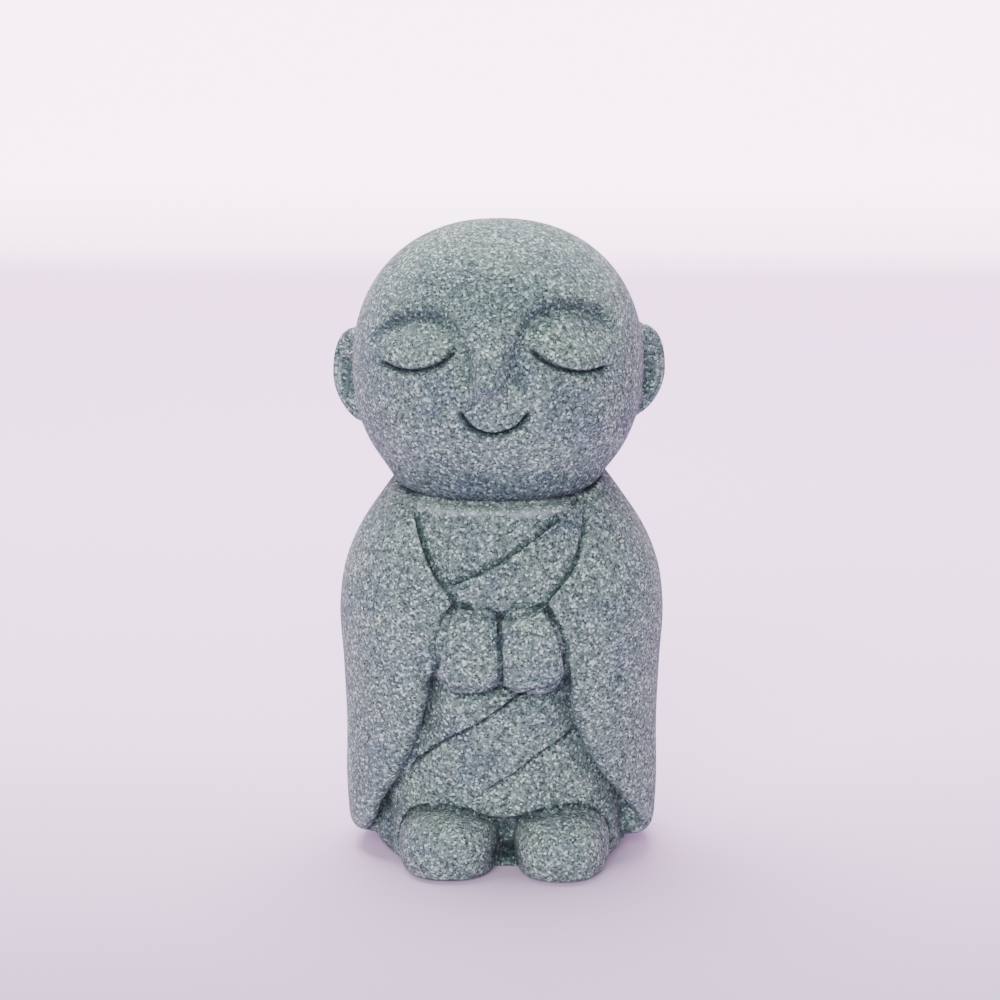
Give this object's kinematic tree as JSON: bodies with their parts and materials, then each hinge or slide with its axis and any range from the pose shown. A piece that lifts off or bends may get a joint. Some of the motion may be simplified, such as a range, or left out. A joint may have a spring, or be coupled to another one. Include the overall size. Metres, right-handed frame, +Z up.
{
  "type": "statuette",
  "caption": "Small standing robed monk figure with a large round head, closed eyes, wide sleeves and hands joined at the chest, cast in one piece to stand on a desk or shelf.",
  "frame": {"origin": "on the ground, under the middle of the bounding box", "axes": "+Z up, the face looks along -Y, +X towards the figure's left hand, which is the right of a viewer in front of it"},
  "size_m": [0.0338, 0.03, 0.065],
  "materials": {
    "sandstone": "cast grey-green sandstone: stone sand bound with resin, dull and finely grained, with pale, middle and dark grains of 0.2 to 0.4 mm and no gloss"
  },
  "bodies": {
    "root": {"monk_figure": "sandstone"}
  },
  "joints": []
}
